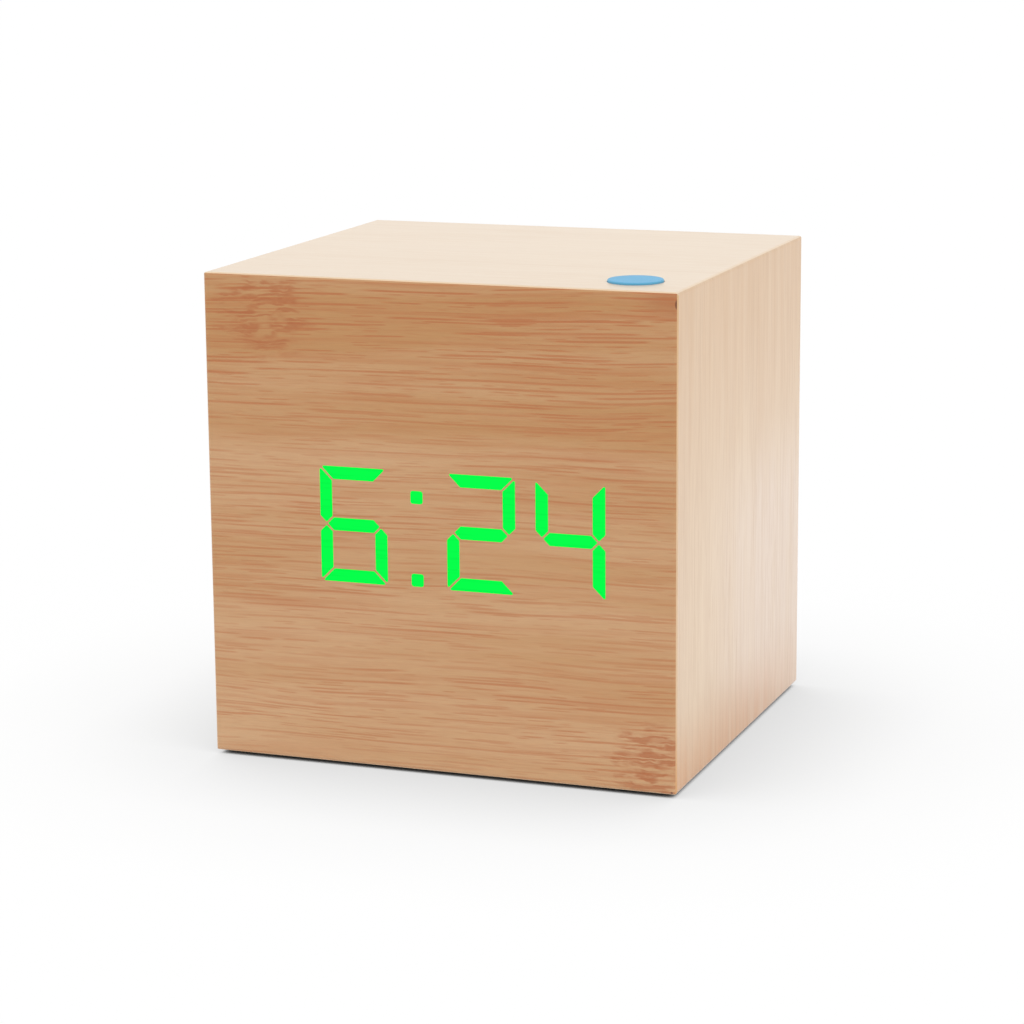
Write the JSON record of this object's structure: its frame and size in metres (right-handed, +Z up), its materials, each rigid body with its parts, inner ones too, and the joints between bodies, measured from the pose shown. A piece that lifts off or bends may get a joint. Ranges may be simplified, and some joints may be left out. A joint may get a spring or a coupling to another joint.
{
  "type": "led cube alarm clock",
  "caption": "Wood-veneered cube alarm clock with digits that shine through its front, a low push button on top, and a rear cover with keys, power socket and battery bay.",
  "frame": {"origin": "on the table under the middle of the case", "axes": "+Z up, -Y out of the display's face, +X to the right of someone who reads the display"},
  "size_m": [0.064, 0.058, 0.0648],
  "materials": {
    "wood_veneer": "satin lacquered bamboo veneer",
    "unlit_veneer": "veneer over a dark segment",
    "lit_green": "glowing green",
    "fibre_board": "raw fibre board",
    "pine_block": "sawn softwood",
    "black_rubber": "matt",
    "white_plastic": "moulded",
    "circuit_board": "solder mask",
    "led_chip": "cast resin",
    "chip_black": "moulded",
    "steel": "zinc plated",
    "black_steel": "blackened",
    "blue_plastic": "satin",
    "black_plastic": "fine spark texture",
    "key_plastic": "satin",
    "brass": "plated",
    "cell_jacket": "shrink sleeve over steel",
    "nickel": "nickel plated",
    "grey_vinyl": "vinyl",
    "red_vinyl": "vinyl",
    "black_vinyl": "vinyl",
    "capacitor_sleeve": "shrink sleeve"
  },
  "bodies": {
    "case": {"front_veneer": "wood_veneer", "top_veneer": "wood_veneer", "left_veneer": "wood_veneer", "right_veneer": "wood_veneer", "bottom_veneer": "wood_veneer", "rear_edge_band": "wood_veneer", "front_board": "fibre_board", "top_board": "fibre_board", "bottom_board": "fibre_board", "left_board": "fibre_board", "right_board": "fibre_board", "corner_blocks": "pine_block", "feet": "black_rubber", "lit_segments": "lit_green", "unlit_segments": "unlit_veneer", "display_reflector": "white_plastic", "display_pcb": "circuit_board", "display_leds": "led_chip", "display_driver": "chip_black", "display_screws": "steel", "snooze_switch": "chip_black", "snooze_pcb": "circuit_board", "snooze_posts": "white_plastic", "snooze_screws": "steel", "rear_cover": "black_plastic", "cover_screws": "black_steel", "main_pcb": "circuit_board", "main_pcb_screws": "steel", "controller_chip": "chip_black", "clock_crystal": "steel", "buzzer": "chip_black", "capacitor": "capacitor_sleeve", "power_socket": "chip_black", "power_socket_pin": "brass", "key_switches": "chip_black", "battery_cells": "cell_jacket", "battery_springs": "nickel", "battery_strips": "nickel", "ribbon_cable": "grey_vinyl", "ribbon_sockets": "white_plastic", "red_lead": "red_vinyl", "black_lead": "black_vinyl", "snooze_lead": "grey_vinyl"},
    "snooze": {"snooze_button": "blue_plastic", "snooze_ring": "steel", "snooze_plunger": "chip_black"},
    "set": {"set_key": "key_plastic", "set_plunger": "chip_black"},
    "up": {"up_key": "key_plastic", "up_plunger": "chip_black"},
    "down": {"down_key": "key_plastic", "down_plunger": "chip_black"},
    "door": {"battery_door": "black_plastic"}
  },
  "joints": [
    {"name": "snooze_press", "type": "slide", "parent": "case", "child": "snooze", "axis": [0, 0, -1], "range_m": [0, 0.00025], "stiffness_N_per_m": 4000, "springref_m": -0.0001},
    {"name": "set_press", "type": "slide", "parent": "case", "child": "set", "axis": [0, -1, 0], "range_m": [0, 0.0003], "stiffness_N_per_m": 4000, "springref_m": -0.0001},
    {"name": "up_press", "type": "slide", "parent": "case", "child": "up", "axis": [0, -1, 0], "range_m": [0, 0.0003], "stiffness_N_per_m": 4000, "springref_m": -0.0001},
    {"name": "down_press", "type": "slide", "parent": "case", "child": "down", "axis": [0, -1, 0], "range_m": [0, 0.0003], "stiffness_N_per_m": 4000, "springref_m": -0.0001},
    {"name": "door_hinge", "type": "hinge", "parent": "case", "child": "door", "pos_m": [0, 0.0272, 0.0085], "axis": [-1, 0, 0], "range_deg": [0, 90]}
  ]
}
